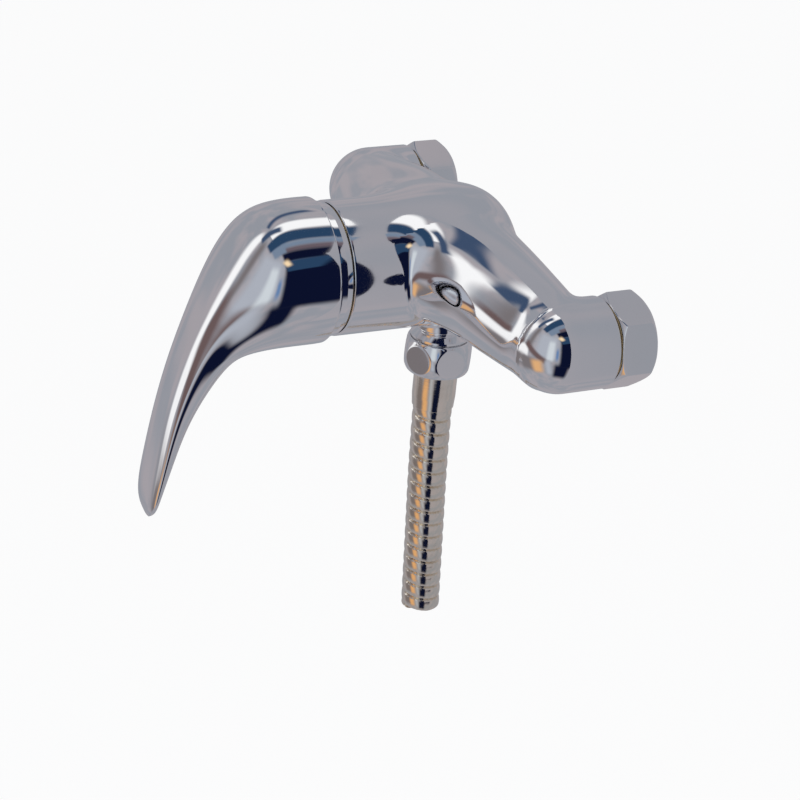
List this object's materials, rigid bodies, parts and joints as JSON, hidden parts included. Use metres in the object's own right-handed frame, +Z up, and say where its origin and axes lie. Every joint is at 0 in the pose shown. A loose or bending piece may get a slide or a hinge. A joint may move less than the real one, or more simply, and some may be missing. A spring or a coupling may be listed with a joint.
{
  "type": "wall-mounted shower mixer",
  "caption": "Wall-mounted single-lever shower mixer: curved lever, hooded barrel, swept arms to hexagonal inlet nuts, and a short metal hose below.",
  "frame": {"origin": "midway between the two inlet nuts, in the plane of their rear faces, where the mixer meets the wall unions", "axes": "+X from the hot to the cold inlet, +Y towards the wall, +Z up"},
  "size_m": [0.1828, 0.1485, 0.1735],
  "materials": {
    "chrome_body": "polished chrome on brass",
    "chrome_lever": "polished chrome on zinc",
    "chrome_nut": "polished chrome on brass",
    "hose_steel": "polished stainless strip",
    "brass": "machined",
    "spring_steel": "plain",
    "rubber": "matt",
    "white_plastic": "moulded",
    "dark_plastic": "moulded",
    "ceramic": "lapped",
    "index_plastic": "gloss"
  },
  "bodies": {
    "body": {"body_casting": "chrome_body", "inlet_tail_left": "brass", "inlet_tail_right": "brass", "inlet_washer_left": "rubber", "inlet_washer_right": "rubber", "inlet_seal_left": "rubber", "inlet_seal_right": "rubber", "outlet_nipple": "chrome_nut", "check_valve_body": "white_plastic", "check_valve_spring": "spring_steel", "hose_nut": "chrome_nut", "hose_washer": "rubber", "cartridge_base": "white_plastic", "base_seal_hot": "rubber", "base_seal_cold": "rubber", "base_seal_mixed": "rubber", "fixed_disc": "ceramic", "cartridge_housing": "white_plastic", "cartridge_nut": "brass", "collar": "chrome_body"},
    "turret": {"turret": "dark_plastic", "pivot_pin": "spring_steel"},
    "lever": {"lever": "chrome_lever", "stem": "brass", "grub_screw": "spring_steel", "index_plug": "index_plastic"},
    "discs": {"moving_disc": "ceramic", "disc_carrier": "dark_plastic"},
    "nut_left": {"inlet_nut_left": "chrome_nut"},
    "nut_right": {"inlet_nut_right": "chrome_nut"},
    "poppet": {"check_valve_poppet": "white_plastic"},
    "hose": {"hose_insert": "brass", "hose_ferrule": "hose_steel", "hose": "hose_steel", "hose_inner_tube": "rubber"}
  },
  "joints": [
    {"name": "temperature_turn", "type": "hinge", "parent": "body", "child": "turret", "pos_m": [0, -0.0835, 0.003], "axis": [0, -1, 0], "range_deg": [-50, 50]},
    {"name": "flow_lift", "type": "hinge", "parent": "turret", "child": "lever", "pos_m": [0, -0.0835, 0.003], "axis": [-1, 0, 0], "range_deg": [0, 25]},
    {"name": "disc_slide", "type": "slide", "parent": "turret", "child": "discs", "axis": [0, 0, -1], "range_m": [0, 0.00508]},
    {"name": "inlet_nut_left_spin", "type": "hinge", "parent": "body", "child": "nut_left", "pos_m": [-0.075, -0.007, 0], "axis": [0, 1, 0], "continuous": true},
    {"name": "inlet_nut_right_spin", "type": "hinge", "parent": "body", "child": "nut_right", "pos_m": [0.075, -0.007, 0], "axis": [0, 1, 0], "continuous": true},
    {"name": "check_valve_open", "type": "slide", "parent": "body", "child": "poppet", "axis": [0, 0, -1], "range_m": [0, 0.0025], "stiffness_N_per_m": 40, "springref_m": -0.002, "deforming": ["check_valve_spring"]},
    {"name": "hose_swivel", "type": "hinge", "parent": "body", "child": "hose", "pos_m": [0, -0.035, -0.04], "axis": [0, 0, 1], "continuous": true}
  ],
  "couplings": [
    {"joint": "disc_slide", "follows": "flow_lift", "m_per_rad": 0.01162}
  ]
}
